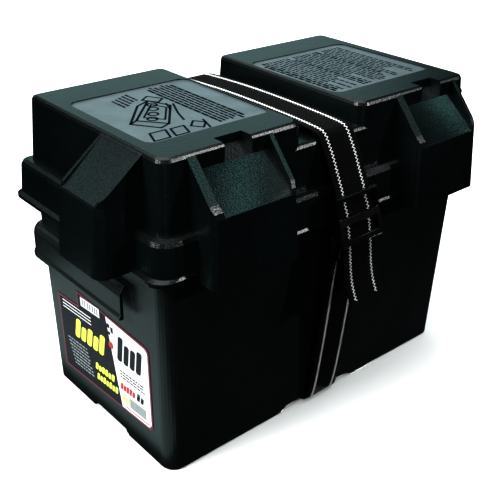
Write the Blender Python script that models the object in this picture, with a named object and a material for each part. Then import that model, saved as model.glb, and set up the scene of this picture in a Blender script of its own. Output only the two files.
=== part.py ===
"""A strapped battery box: moulded box and lid, webbing strap with a buckle, and the battery inside.

Sizes are in millimetres and become metres when an object is made. X runs along the box, the buckle is on the
-Y side, +Z is up, and the floor is z = 0.
"""

import math

import bmesh
import bpy

MM = 0.001
BOX_SHIFT_Y = 14.0  # the free strap tail reaches out in front, so the box stands this far back
GAP = 0.3  # between neighbouring pieces
CORNER_STEPS = 7
ROUND_STEPS = 20

# Box
WALL = 3.0
BASE_HALF = (169.4, 90.7)  # at the floor
DRAFT = (0.0165, 0.0235)  # growth of each half size per mm of height
BASE_CORNERS = (8.0, 8.0, 13.0, 13.0)  # from (+X, +Y) anticlockwise
FLOOR_TOP = 9.5
RECESS_HEIGHT = 6.0
RECESS_HALF = (46.0, 28.0)  # half width of the strap passage, and of the one across it
RECESS_STEP = 4.0
RIM_TOP = 218.6
COLLAR_BOTTOM, COLLAR_TOP = 134.0, 158.5
COLLAR_FRONT = -46.0  # the lifting collar runs round the back and the ends, up to here

# Lid
LIP_Z = 188.0
LID_SHIFT_Y = 2.0  # the lid reaches a little further back than the box
LIP_HALF = (185.1, 107.4)
SKIRT_HALF = (180.1, 104.6)
SKIRT_CORNERS = (10.0, 10.0, 16.0, 16.0)
SHELF_Z = 222.0
LID_TOP = 278.0
CHANNEL_Z = 259.0
TOP_HALF = (168.4, 92.0)
FOOT_HALF = (171.9, 95.5)  # the raised blocks, where they stand on the shelf
BLOCK_CORNERS = (6.0, 6.0, 9.0, 9.0)
EDGE_ROUND = 3.2
PANEL_MARGIN = (4.0, 12.0)  # from the block's inner and outer ends
PANEL_Y = (-58.5, 55.0)
PANEL_DEPTH = 1.2
PANEL_CORNER = 9.0

# Cable hoods
BLOCKS = ((-168.4, -36.0, -107.0), (30.0, 168.4, 113.0))  # each block's ends and its hood's middle
FRONT_HOOD_BOTTOM = 184.0
FRONT_HOOD_HALF = 40.0
FRONT_HOOD_OUT = 120.0
FRONT_RIMS = (8.0, 4.0)  # the raised rims down the -X and +X sides of a front hood's ramp
NOTCH_X = (-6.0, 20.0)  # from the front hood's middle
NOTCH_BACK = 77.0
# (Y, Z) up the front ramp and the notch's floor
RAMP_CORNER = 7.0  # where the foot of a ramp meets its rims
RAMP = ((-120.0, 237.0), (-90.1, 264.0), (-NOTCH_BACK, 271.0))
END_HOOD_BOTTOM = 190.0
END_HOOD_Y = (-68.0, -15.0)
END_HOOD_OUT = 206.5
END_RIM = 3.0
FLARE = (2.5, 4.5)  # growth of a hood towards its bottom, to each side and outwards
FLARE_TOP = 244.0

# Strap, buckle and sticker
STRAP_X = 0.0
STRAP_WIDTH = 38.0
STRAP_THICK = 1.5
BUCKLE_TOP = (-115.5, 218.0)
BUCKLE_LEAN = math.radians(10.0)
RAIL_WIDTH = 3.8
LABEL_THICK = 0.35
LABEL_SKEW = 0.066
LABEL_Y = (73.0, -69.0)
LABEL_STEP_Y = 39.0
LABEL_Z = (22.5, 101.0, 112.0)  # its bottom edge, its top at the +Y end and its top elsewhere
LABEL_CORNER = 6.0

# Battery
CELLS = 6
CASE_HALF = (151.5, 85.0)
LEDGE_HALF = (153.0, 86.5)
CASE_WALL = 3.5
CASE_BOTTOM = FLOOR_TOP + GAP
CASE_TOP = 188.0
PARTITION = 2.5
COVER_TOP = 208.0
COVER_DECK = 4.0
PITCH = (2 * CASE_HALF[0] - 2 * CASE_WALL + PARTITION) / CELLS
PACK_HALF_X = 21.2
PACK_HALF_Y = 78.0
PACK_Z = (CASE_BOTTOM + 4.0 + 8.0, 152.0)
PLATES = 8
SEPARATOR_INSET = 1.6
CAST_Y = 46.0
CAST_HALF_Y = 7.0
CAST_Z = (160.0, 168.0)
LINK_HALF_Y = 5.0
POST_Y = -CAST_Y
POST_X = 2.5 * PITCH
VENT_HOLE = 11.0
STUD_RADIUS = 4.0
STUD_STEP_X = 28.0  # from the tapered post to the stud, towards the middle of the battery
PAD_BOTTOM = COVER_TOP + 6.0 + GAP
PAD_TOP = PAD_BOTTOM + 5.0

MATERIALS = {
    "box_plastic": ((0.022, 0.024, 0.026), 0.42, 0.0),
    "lid_plastic": ((0.022, 0.024, 0.026), 0.38, 0.0),
    "webbing": ((0.018, 0.018, 0.02), 0.85, 0.0),
    "buckle_plastic": ((0.02, 0.02, 0.022), 0.3, 0.0),
    "sticker": ((0.75, 0.75, 0.72), 0.5, 0.0),
    "case_plastic": ((0.05, 0.052, 0.055), 0.4, 0.0),
    "cover_plastic": ((0.035, 0.036, 0.04), 0.4, 0.0),
    "plates": ((0.2, 0.2, 0.21), 0.7, 0.0),
    "lead": ((0.36, 0.37, 0.39), 0.45, 1.0),
    "steel": ((0.62, 0.62, 0.63), 0.3, 1.0),
    "vent_plastic": ((0.7, 0.55, 0.08), 0.4, 0.0),
    "seal_rubber": ((0.03, 0.03, 0.03), 0.8, 0.0),
}


# ---- shapes ---------------------------------------------------------------------------------------------


def arc(centre, radius, start, end, steps):
    """Points on a circle's arc, with the angles in degrees."""
    angles = [math.radians(start + (end - start) * i / steps) for i in range(steps + 1)]
    return [(centre[0] + radius * math.cos(a), centre[1] + radius * math.sin(a)) for a in angles]


def rounded(centre, half, corners, steps=CORNER_STEPS):
    """A rectangle's outline; corners are four radii, from (+X, +Y) anticlockwise, or one radius for all."""
    radii = corners if isinstance(corners, tuple) else (corners,) * 4
    points = []
    for (sx, sy), radius, start in zip(((1, 1), (-1, 1), (-1, -1), (1, -1)), radii, (0, 90, 180, 270)):
        middle = (centre[0] + sx * (half[0] - radius), centre[1] + sy * (half[1] - radius))
        points += arc(middle, radius, start, start + 90, steps)
    return points


def circle(centre, radius, steps=ROUND_STEPS):
    return arc(centre, radius, 0, 360 - 360 / steps, steps - 1)


def at_height(outline, z):
    return [(x, y, z) for x, y in outline]


def loft(rings, loop=False):
    """A closed skin through rings with equally many points: capped at both ends, or joined end to end."""
    shape = bmesh.new()
    rows = [[shape.verts.new(point) for point in ring] for ring in rings]
    count = len(rows[0])
    pairs = list(zip(rows, rows[1:])) + ([(rows[-1], rows[0])] if loop else [])
    for low, high in pairs:
        for i in range(count):
            j = (i + 1) % count
            shape.faces.new((low[i], low[j], high[j], high[i]))
    if not loop:
        shape.faces.new(rows[0][::-1])
        shape.faces.new(rows[-1])
    shape.normal_update()
    bmesh.ops.recalc_face_normals(shape, faces=shape.faces)
    return shape


def prism(outline, axis, low, high):
    """An outline pushed along an axis: it is in (Y, Z) for X, in (X, Z) for Y and in (X, Y) for Z."""
    place = {
        "x": lambda p, v: (v, p[0], p[1]),
        "y": lambda p, v: (p[0], v, p[1]),
        "z": lambda p, v: (p[0], p[1], v),
    }[axis]
    return loft([[place(point, value) for point in outline] for value in (low, high)])


def block(x, y, z):
    return prism([(x[0], y[0]), (x[1], y[0]), (x[1], y[1]), (x[0], y[1])], "z", *z)


def turned(centre, profile, steps=ROUND_STEPS, loop=False):
    """A shape turned about an upright axis, from (radius, z) pairs."""
    return loft([at_height(circle(centre, radius, steps), z) for radius, z in profile], loop)


def mirrored(shape):
    """The shape on the other side of the X = 0 plane."""
    other = shape.copy()
    for vertex in other.verts:
        vertex.co.x = -vertex.co.x
    other.normal_update()
    bmesh.ops.recalc_face_normals(other, faces=other.faces)
    return other


def combine(first, others, operation):
    """The exact union, difference or intersection of a closed shape with one or more others."""
    for other in others if isinstance(others, (list, tuple)) else [others]:
        pair = []
        for shape in (first, other):
            mesh = bpy.data.meshes.new("scratch")
            shape.to_mesh(mesh)
            pair.append(bpy.data.objects.new("scratch", mesh))
            bpy.context.scene.collection.objects.link(pair[-1])
        modifier = pair[0].modifiers.new("combine", "BOOLEAN")
        modifier.operation = operation
        modifier.solver = "EXACT"
        modifier.object = pair[1]
        bpy.context.view_layer.update()
        first = bmesh.new()
        first.from_object(pair[0], bpy.context.evaluated_depsgraph_get())
        for scratch in pair:
            mesh = scratch.data
            bpy.data.objects.remove(scratch)
            bpy.data.meshes.remove(mesh)
    return first


def add(name, shape, material, parent, origin=(0.0, 0.0, 0.0)):
    """An object made of the shape, in metres, with its origin at a point of the box."""
    mesh = bpy.data.meshes.new(name)
    whole = shape.copy()
    for vertex in whole.verts:
        vertex.co = [(value - start) * MM for value, start in zip(vertex.co, origin)]
    whole.to_mesh(mesh)
    whole.free()
    mesh.materials.append(material)
    obj = bpy.data.objects.new(name, mesh)
    obj.parent = parent
    obj.location = [value * MM for value in origin]
    bpy.context.scene.collection.objects.link(obj)
    return obj


def make_material(name, colour, roughness, metallic):
    material = bpy.data.materials.new(name)
    material.use_nodes = True
    shader = material.node_tree.nodes["Principled BSDF"]
    shader.inputs["Base Color"].default_value = (*colour, 1.0)
    shader.inputs["Roughness"].default_value = roughness
    shader.inputs["Metallic"].default_value = metallic
    material.diffuse_color = (*colour, 1.0)
    return material


# ---- box ------------------------------------------------------------------------------------------------


def wall_ring(outset, z):
    """The box's outline at a height, moved out from its drafted wall."""
    half = [size + slope * z + outset for size, slope in zip(BASE_HALF, DRAFT)]
    return at_height(rounded((0, 0), half, tuple(max(3.0, corner + outset) for corner in BASE_CORNERS)), z)


def lifting_collar():
    """The ledge that hands lift by: an upside-down gutter round the back and the ends."""
    section = [
        (-1.0, COLLAR_TOP),
        (5.4, COLLAR_TOP),
        (6.0, COLLAR_BOTTOM),
        (10.2, COLLAR_BOTTOM),
        (10.2, 137.0),
        (8.7, 138.8),
        (8.2, 155.0),
        (7.5, 158.6),
        (5.6, 161.6),
        (3.0, 163.4),
        (-1.0, 164.4),
    ]
    ring = loft([wall_ring(outset, z) for outset, z in section], loop=True)
    reach = 220.0
    return combine(ring, block((-reach, reach), (COLLAR_FRONT, reach), (0, reach)), "INTERSECT")


def box_base():
    outside = [(-1.2, 0), (0, 1.4), (0, COLLAR_BOTTOM)]
    rim = [(0, 208.5), (2.0, 210.0), (2.0, 215.0), (0.2, RIM_TOP), (-WALL, RIM_TOP)]
    inside = [(-WALL, FLOOR_TOP + 2.5), (-WALL - 0.8, FLOOR_TOP + 0.8), (-WALL - 2.5, FLOOR_TOP)]
    body = loft([wall_ring(outset, z) for outset, z in outside + rim + inside])
    body = combine(body, lifting_collar(), "UNION")
    wide, narrow = RECESS_HALF
    passage = [
        (wide, -1),
        (wide, RECESS_HEIGHT - 3.5),
        (wide - RECESS_STEP, RECESS_HEIGHT - 2.5),
        (wide - RECESS_STEP - 2, RECESS_HEIGHT),
    ]
    passage = passage + [(-x, z) for x, z in passage[::-1]]
    across = [(x * narrow / wide, z) for x, z in passage]
    reach = 220.0
    cuts = [prism(passage, "y", -reach, reach), prism(across, "x", -reach, reach)]
    low, high = WALL + 0.5, FLOOR_TOP + 1.0
    for sx in (-1, 1):
        for sy in (-1, 1):
            centre = (sx * 104.6, sy * 57.8)
            cuts.append(prism(rounded(centre, (55.0, 26.2), 8.0, 4), "z", low, high))
    return combine(body, cuts, "DIFFERENCE")


# ---- lid ------------------------------------------------------------------------------------------------


def centred(half, corners, z):
    return at_height(rounded((0, LID_SHIFT_Y), half, corners), z)


def skirt(inset, bottom):
    """The lid's lower part, up to its shelf; inset moves its faces in to make the hollow."""
    sizes = [
        (LIP_HALF, 1.5, bottom),
        (LIP_HALF, 1.5, LIP_Z + 3.4),
        (SKIRT_HALF, -1.6, LIP_Z + 5.4),
        (SKIRT_HALF, 0, SHELF_Z - 4.6),
        (SKIRT_HALF, 1.3, SHELF_Z - 1.4),
        (SKIRT_HALF, 4.6, SHELF_Z),
    ]
    if inset:
        sizes = [(SKIRT_HALF, 0, bottom), (SKIRT_HALF, 0, SHELF_Z - 4.6), (SKIRT_HALF, 2.0, SHELF_Z)]
    corners = tuple(corner - inset for corner in SKIRT_CORNERS)
    rings = []
    for half, step, z in sizes:
        moved = [value - inset - (step if half is SKIRT_HALF else 0) for value in half]
        rings.append(centred(moved, corners, z if z == bottom else z - inset))
    return loft(rings)


def saddle(inset):
    """The low middle of the lid, which carries the strap between the blocks."""
    top = CHANNEL_Z - inset
    rings = []
    for z in (SHELF_Z - 8, top - EDGE_ROUND, top - 1, top):
        spread = (LID_TOP - z) / (LID_TOP - SHELF_Z) * (FOOT_HALF[1] - TOP_HALF[1])
        tuck = {top - 1: EDGE_ROUND * 0.3, top: EDGE_ROUND}.get(z, 0.0)
        rings.append(centred((60.0, TOP_HALF[1] + spread - inset - tuck), 2.0, z))
    return loft(rings)


def raised_block(ends, inset):
    """One of the two raised blocks; its walls spread towards the shelf, and less towards the strap."""
    top = LID_TOP - inset
    slope = (FOOT_HALF[0] - TOP_HALF[0]) / (LID_TOP - SHELF_Z)
    rings = []
    for z in (SHELF_Z - 6, top - EDGE_ROUND, top - EDGE_ROUND * 0.3, top):
        spread = (LID_TOP - z) * slope
        tuck = {top - EDGE_ROUND * 0.3: EDGE_ROUND * 0.3, top: EDGE_ROUND}.get(z, 0.0)
        grown = [spread * (1.0 if abs(end) > 100 else 0.5) - inset - tuck for end in ends]
        low, high = ends[0] - grown[0], ends[1] + grown[1]
        half = ((high - low) / 2, TOP_HALF[1] + spread - inset - tuck)
        corners = tuple(corner - inset * 0.6 - tuck * 0.5 for corner in BLOCK_CORNERS)
        rings.append(at_height(rounded(((low + high) / 2, LID_SHIFT_Y), half, corners), z))
    return loft(rings)


def flared(centre, half, corners, flare, low):
    """A hood's plan carried upwards, growing by flare from FLARE_TOP down to low."""
    grown = [size + extra for size, extra in zip(half, flare)]
    rings = [(grown, low), (half, FLARE_TOP), (half, LID_TOP + 5)]
    return loft([at_height(rounded(centre, size, corners, 4), z) for size, z in rings])


def front_hood(middle, inset):
    """A hood of the front, with its side rims standing proud of a ramp between them."""
    low = FRONT_HOOD_BOTTOM - (20.0 if inset else 0.0)
    half = FRONT_HOOD_HALF - inset
    out = -FRONT_HOOD_OUT + inset
    drop = inset * 1.45
    side = [
        (-70, 276.6 - drop),
        (-88.6, 276.6 - drop),
        (-90.4, 275.0 - drop),
        (-115.0 + inset * 0.3, 246.8 - drop),
        (-118.6 + inset * 0.8, 241.6 - drop),
        (out + 0.2, 236.5 - drop),
        (out - FLARE[1], low),
        (-70, low),
    ]
    width = half + FLARE[0]
    plan = flared((middle, -90), (half, -out - 90), (0.5, 0.5, 6.0, 6.0), FLARE, low - 1)
    return combine(prism(side, "x", middle - width, middle + width), plan, "INTERSECT")


def scoop(ramp, x, y, corners, inset):
    """A ramp's cutter with the corners at its foot rounded in plan; x and y are its ends."""
    ends = [(low - inset, high + inset) for low, high in (x, y)]
    centre = [(low + high) / 2 for low, high in ends]
    half = [(high - low) / 2 for low, high in ends]
    plan = rounded(centre, half, tuple(corner + inset for corner in corners), 5)
    return combine(ramp, prism(plan, "z", SHELF_Z - 10, LID_TOP + 12), "INTERSECT")


def front_ramp(middle, inset):
    """What is cut off above a front hood's ramp, with the notch in the block's top edge."""
    drop = inset * 1.3
    (foot_y, foot_z), (meet_y, meet_z), (back_y, back_z) = RAMP
    outer = (foot_y - 20, foot_z - 16 - drop)
    over = LID_TOP + 12
    foot = (foot_y, foot_z - drop)
    meet, back = meet_y + inset, back_y + inset
    wide = [outer, foot, (meet, meet_z - drop), (meet, over), (foot_y - 20, over)]
    ramp = [outer, foot, (meet_y, meet_z - drop), (back, back_z - drop), (back, over), (foot_y - 20, over)]
    x = (middle - FRONT_HOOD_HALF + FRONT_RIMS[0], middle + FRONT_HOOD_HALF - FRONT_RIMS[1])
    cutter = prism(wide, "x", x[0] - inset, x[1] + inset)
    cutter = scoop(cutter, x, (foot_y - 1, meet_y + 5), (0.5, 0.5, RAMP_CORNER, RAMP_CORNER), inset)
    notch = prism(ramp, "x", middle + NOTCH_X[0] - inset, middle + NOTCH_X[1] + inset)
    return [cutter, notch]


def end_hood(inset):
    """The +X end's hood: a ramp from the block's top edge, one rounded upright corner and one sharp one."""
    low = END_HOOD_BOTTOM - (26.0 if inset else 0.0)
    y = (END_HOOD_Y[0] + inset, END_HOOD_Y[1] - inset)
    out = END_HOOD_OUT - inset
    edge = TOP_HALF[0]
    drop = inset * 1.3
    side = [
        (140, 276.8 - drop),
        (edge - 1.1, 276.8 - drop),
        (edge + 0.9, 275.6 - drop),
        (out - 3.4, 249.0 - drop),
        (out - 0.6, 243.2 - drop),
        (out + FLARE[1], low),
        (140, low),
    ]
    centre = ((140 + out) / 2, sum(y) / 2)
    half = ((out - 140) / 2, (y[1] - y[0]) / 2)
    plan = flared(centre, half, (2.5, 0.5, 0.5, 10.0), FLARE[::-1], low - 1)
    return combine(prism(side, "y", y[0] - FLARE[0], y[1] + FLARE[0]), plan, "INTERSECT")


def end_ramp(inset):
    """What is cut off above the end hood's ramp, between its rims."""
    drop = inset * 1.3
    edge = TOP_HALF[0]
    outline = [
        (edge + 1.4, 275.0 - drop),
        (END_HOOD_OUT - 0.8, 244.4 - drop),
        (END_HOOD_OUT + 20, 226.0 - drop),
        (END_HOOD_OUT + 20, 290),
        (edge + 1.4, 290),
    ]
    y = (END_HOOD_Y[0] + END_RIM, END_HOOD_Y[1] - END_RIM)
    cutter = prism(outline, "y", y[0] - inset, y[1] + inset)
    return scoop(cutter, (edge - 5, END_HOOD_OUT + 0.5), y, (0.8, 0.5, 0.5, RAMP_CORNER + 2), inset)


def top_panel(ends):
    """The shallow recess in a block's top."""
    x = sorted((end + (PANEL_MARGIN[abs(end) > 100]) * (1 if end is ends[0] else -1)) for end in ends)
    half = ((x[1] - x[0]) / 2, (PANEL_Y[1] - PANEL_Y[0]) / 2)
    outline = rounded((sum(x) / 2, sum(PANEL_Y) / 2), half, PANEL_CORNER)
    return prism(outline, "z", LID_TOP - PANEL_DEPTH, LID_TOP + 5)


def box_lid():
    outside = [saddle(0), end_hood(0), mirrored(end_hood(0))]
    inside = [saddle(WALL), end_hood(WALL), mirrored(end_hood(WALL))]
    cuts = [end_ramp(0), mirrored(end_ramp(0))]
    keeps = [end_ramp(WALL), mirrored(end_ramp(WALL))]
    for low, high, hood in BLOCKS:
        outside += [raised_block((low, high), 0), front_hood(hood, 0)]
        inside += [raised_block((low, high), WALL), front_hood(hood, WALL)]
        cuts += front_ramp(hood, 0) + [top_panel((low, high))]
        keeps += front_ramp(hood, WALL)
    shell = combine(combine(skirt(0, LIP_Z), outside, "UNION"), cuts, "DIFFERENCE")
    hollow = combine(combine(skirt(WALL, LIP_Z - 30), inside, "UNION"), keeps, "DIFFERENCE")
    return combine(shell, hollow, "DIFFERENCE")


# ---- strap, buckle and sticker --------------------------------------------------------------------------


def smooth(points, pieces=3):
    """A curve through all the points, as a list of points."""
    ends = [points[0]] + list(points) + [points[-1]]
    found = []
    for before, start, end, after in zip(ends, ends[1:], ends[2:], ends[3:]):
        for i in range(pieces):
            t = i / pieces
            found.append(
                tuple(
                    b + ((c - a) * t + (2 * a - 5 * b + 4 * c - d) * t**2 + (3 * b - a - 3 * c + d) * t**3) / 2
                    for a, b, c, d in zip(before, start, end, after)
                )
            )
    return found + [points[-1]]


def sides_of(path):
    """For each point of a path in (Y, Z), the unit vector square to the path."""
    found = []
    for i in range(len(path)):
        a, b = path[max(0, i - 1)], path[min(len(path) - 1, i + 1)]
        length = math.hypot(b[0] - a[0], b[1] - a[1])
        found.append(((b[1] - a[1]) / length, -(b[0] - a[0]) / length))
    return found


def webbing(path, width=STRAP_WIDTH, thick=STRAP_THICK):
    """A flat strap along a path in (Y, Z), with thinner edges."""
    edge = 1.0
    rings = []
    for (y, z), (ny, nz) in zip(path, sides_of(path)):
        section = [
            (-width / 2, thick / 4),
            (-width / 2 + edge, thick / 2),
            (width / 2 - edge, thick / 2),
            (width / 2, thick / 4),
            (width / 2, -thick / 4),
            (width / 2 - edge, -thick / 2),
            (-width / 2 + edge, -thick / 2),
            (-width / 2, -thick / 4),
        ]
        rings.append([(STRAP_X + across, y + ny * out, z + nz * out) for across, out in section])
    return loft(rings)


def on_buckle(down, out):
    """A point of the buckle's own plane, in (Y, Z): down from its top edge, and out from it."""
    y, z = BUCKLE_TOP
    sine, cosine = math.sin(BUCKLE_LEAN), math.cos(BUCKLE_LEAN)
    return (y - down * sine - out * cosine, z - down * cosine + out * sine)


def strap_over():
    back = [
        (110.9, 176.0),
        (110.9, 188.0),
        (110.6, 193.0),
        (108.6, 216.0),
        (107.2, 221.9),
        (104.4, 230.0),
        (98.0, 256.0),
        (95.2, 260.6),
        (89.0, 262.6),
    ]
    top = [(60.0, 264.4), (30.0, 265.6), (0.0, 266.0), (-30.0, 265.8), (-60.0, 265.2), (-84.0, 263.9)]
    front = [(-90.5, 261.6), (-94.4, 256.5), (-101.8, 244.0), (-107.5, 232.0), (-112.2, 222.5)]
    threaded = [(2.5, -0.7), (7.5, -0.3), (16.0, 2.1), (29.0, 2.65), (36.0, 2.75), (43.5, 2.95)]
    tail = [(-127.6, 164.0), (-129.6, 152.0), (-133.2, 140.0), (-138.6, 128.6)]
    return webbing(smooth(back + top + front + [on_buckle(*p) for p in threaded] + tail))


def strap_loop():
    """The webbing's sewn end: round the loop bar, then two layers that are stitched together."""
    round_bar = [(36.4, -3.75), (33.0, -4.25), (30.0, -4.5), (27.0, -4.6), (25.0, -3.9), (24.4, -1.9)]
    round_bar += [(25.0, 0.1), (27.0, 0.72), (30.0, 0.65), (33.5, -0.3), (38.0, -2.1)]
    behind = [(-115.35, 165.5), (-116.1, 171.5)]
    front = [(-116.6, 171.5), (-115.3, 159.0)]
    half = STRAP_THICK / 2
    path = smooth(behind + [on_buckle(*p) for p in round_bar] + front)
    outer = [(y + ny * half, z + nz * half) for (y, z), (ny, nz) in zip(path, sides_of(path))]
    inner = [(y - ny * half, z - nz * half) for (y, z), (ny, nz) in zip(path, sides_of(path))]
    x = (STRAP_X - STRAP_WIDTH / 2 + 0.6, STRAP_X + STRAP_WIDTH / 2 - 0.6)
    return prism(outer + inner[::-1], "x", *x)


def strap_under():
    front = [(-113.9, 164.6), (-110.4, 134.0), (-108.4, 112.0), (-104.2, 70.0), (-99.4, 30.0), (-95.4, 9.0)]
    base = [(-92.6, 4.6), (-88.0, 3.2), (-60.0, 3.0), (60.0, 3.0), (88.0, 3.2), (92.6, 4.6)]
    back = [(95.2, 9.0), (99.6, 40.0), (104.6, 100.0), (107.3, 134.0), (110.2, 165.0), (110.9, 175.6)]
    return webbing(smooth(front + base + back))


def buckle():
    inner = STRAP_WIDTH / 2 + 1.0
    rail = [
        (0, 0.6),
        (0, 3.6),
        (0.9, 4.4),
        (16, 4.7),
        (24, 6.0),
        (34.5, 7.4),
        (40.2, 7.9),
        (41, 7.1),
        (41, 4.9),
        (36.5, 3.9),
        (32.5, -3.2),
        (22, -3.6),
        (12, -2.9),
        (5, 0.4),
    ]
    bars = [
        [(0, 0.6), (0, 3.6), (0.9, 4.4), (3.6, 4.4), (4.4, 3.6), (4.0, 0.6)],
        [(13.8, -2.4), (13.4, 0.2), (14.4, 0.9), (17.6, 0.9), (18.4, 0.2), (18.0, -2.4)],
        [(17.5, 4.3), (17.1, 4.7), (17.7, 5.3), (23.3, 6.2), (24.0, 5.6), (23.7, 4.6)],
        [(27.2, -3.2), (26.6, -2.6), (26.6, -1.0), (27.2, -0.5)]
        + [(30.4, -0.5), (31.0, -1.0), (31.0, -2.6), (30.4, -3.2)],
        [(36.0, 4.6), (35.4, 6.8), (36.2, 7.5), (40.2, 7.9), (41, 7.1), (41, 4.9), (40.4, 4.6)],
    ]
    sides = []
    for sign in (-1, 1):
        near, far = STRAP_X + sign * inner, STRAP_X + sign * (inner + RAIL_WIDTH)
        sides.append(prism([on_buckle(*p) for p in rail], "x", min(near, far), max(near, far)))
    reach = inner + RAIL_WIDTH - 0.8
    shape = sides[0]
    for bar in bars:
        outline = [on_buckle(*p) for p in bar]
        shape = combine(shape, prism(outline, "x", STRAP_X - reach, STRAP_X + reach), "UNION")
    return combine(shape, sides[1], "UNION")


def box_label():
    """A sticker on the -X wall, stuck on a little askew, with a lower part at its +Y end."""
    low, step, high = LABEL_Z
    near = LABEL_Y[1] + LABEL_CORNER
    outline = [(LABEL_Y[0], low), (LABEL_Y[0], step), (LABEL_STEP_Y, step), (LABEL_STEP_Y, high + 4.0)]
    outline += arc((near, high - 2 * LABEL_CORNER), LABEL_CORNER, 90, 180, 5)
    outline += arc((near, low + LABEL_CORNER), LABEL_CORNER, 180, 270, 5)
    outline = [(y, z + (LABEL_Y[0] - y) * LABEL_SKEW) for y, z in outline]
    shape = prism(outline, "x", 0.0, LABEL_THICK)
    for vertex in shape.verts:
        vertex.co.x += -BASE_HALF[0] - DRAFT[0] * vertex.co.z - 0.1 - LABEL_THICK
    return shape


# ---- battery --------------------------------------------------------------------------------------------


def cell_x(index):
    return (index - (CELLS - 1) / 2) * PITCH


def battery_case():
    foot = rounded((0, 0), [half - 3.0 for half in LEDGE_HALF], 3.0, 4)
    ledge = rounded((0, 0), LEDGE_HALF, 6.0, 4)
    side = rounded((0, 0), CASE_HALF, 5.0, 4)
    hollow = rounded((0, 0), [half - CASE_WALL for half in CASE_HALF], 3.0, 4)
    outside = [
        (foot, CASE_BOTTOM),
        (ledge, CASE_BOTTOM + 3),
        (ledge, CASE_BOTTOM + 12),
        (side, CASE_BOTTOM + 14),
        (side, CASE_TOP),
    ]
    inside = [(hollow, CASE_TOP), (hollow, CASE_BOTTOM + 4)]
    shape = loft([at_height(outline, z) for outline, z in outside + inside])
    for i in range(CELLS - 1):
        middle = cell_x(i) + PITCH / 2
        reach = CASE_HALF[1] - CASE_WALL + 1
        x = (middle - PARTITION / 2, middle + PARTITION / 2)
        wall = block(x, (-reach, reach), (CASE_BOTTOM + 3, CASE_TOP - 3))
        y = CAST_Y * (1 if i % 2 == 0 else -1)
        window = (y - LINK_HALF_Y - GAP, y + LINK_HALF_Y + GAP)
        wall = combine(wall, block((x[0] - 1, x[1] + 1), window, (CAST_Z[1], CASE_TOP)), "DIFFERENCE")
        shape = combine(shape, wall, "UNION")
    return shape


def plate_pack():
    """The plates of one cell, with separators between them and two cast straps over them."""
    plate = 2 * PACK_HALF_X / (2 * PLATES - 1)
    edge = []
    for i in range(2 * PLATES - 1):
        depth = PACK_HALF_Y if i % 2 == 0 else PACK_HALF_Y - SEPARATOR_INSET
        edge += [(-PACK_HALF_X + plate * i, depth), (-PACK_HALF_X + plate * (i + 1), depth)]
    outline = edge + [(-x, -y) for x, y in edge]
    shape = prism(outline, "z", *PACK_Z)
    for sign in (-1, 1):
        y = (sign * CAST_Y - CAST_HALF_Y, sign * CAST_Y + CAST_HALF_Y)
        shape = combine(shape, block((-PACK_HALF_X + 1, PACK_HALF_X - 1), y, CAST_Z), "UNION")
        for i in range(sign > 0, PLATES, 2):
            x = -PACK_HALF_X + plate * 2 * i
            lug = block((x + 0.4, x + plate - 0.4), (y[0] + 2, y[1] - 2), (PACK_Z[1] - 1, CAST_Z[0] + 1))
            shape = combine(shape, lug, "UNION")
    return shape


def cell_link(index):
    """The lead bridge from one cell's cast strap to the next one's, through the window in their wall."""
    middle = cell_x(index) + PITCH / 2
    y = CAST_Y * (1 if index % 2 == 0 else -1)
    low = CAST_Z[1] + GAP
    feet = 16.0
    outline = [(-feet, low), (feet, low), (feet, low + 4)]
    outline += [(feet - 6, low + 12), (6 - feet, low + 12), (-feet, low + 4)]
    return prism([(middle + x, z) for x, z in outline], "y", y - LINK_HALF_Y, y + LINK_HALF_Y)


def battery_cover():
    outer = rounded((0, 0), LEDGE_HALF, 6.0, 4)
    top = rounded((0, 0), [half - 1.5 for half in LEDGE_HALF], 4.5, 4)
    inner = rounded((0, 0), [half - COVER_DECK + 0.5 for half in LEDGE_HALF], 3.0, 4)
    low = CASE_TOP + GAP
    rings = [(outer, low), (outer, COVER_TOP - 1.5), (top, COVER_TOP)]
    shape = loft([at_height(outline, z) for outline, z in rings])
    deck = COVER_TOP - COVER_DECK
    shape = combine(shape, prism(inner, "z", low - 1, deck), "DIFFERENCE")
    for i in range(CELLS):
        at = (cell_x(i), 0.0)
        well = turned(at, [(16.0, deck - 4), (16.0, COVER_TOP + 2)])
        shape = combine(shape, well, "UNION")
        shape = combine(shape, turned(at, [(VENT_HOLE, deck - 5), (VENT_HOLE, COVER_TOP + 3)]), "DIFFERENCE")
    for sign in (-1, 1):
        middle = sign * (POST_X - STUD_STEP_X / 2)
        raised = prism(rounded((middle, POST_Y), (30.0, 16.0), 6.0, 4), "z", deck + 1, COVER_TOP + 6)
        shape = combine(shape, raised, "UNION")
        bore = turned((sign * POST_X, POST_Y), [(9.6, deck - 2), (9.6, COVER_TOP + 8)])
        shape = combine(shape, bore, "DIFFERENCE")
        bars = [((-7, 7), (-1.6, 1.6))] + ([((-1.6, 1.6), (-7, 7))] if sign > 0 else [])
        mark = None
        for x, y in bars:
            centre = (middle, POST_Y + 31.0)
            bar = block(
                (centre[0] + x[0], centre[0] + x[1]),
                (centre[1] + y[0], centre[1] + y[1]),
                (COVER_TOP - 1, COVER_TOP + 1.2),
            )
            mark = combine(mark, bar, "UNION") if mark else bar
        shape = combine(shape, mark, "UNION")
    return shape


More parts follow.
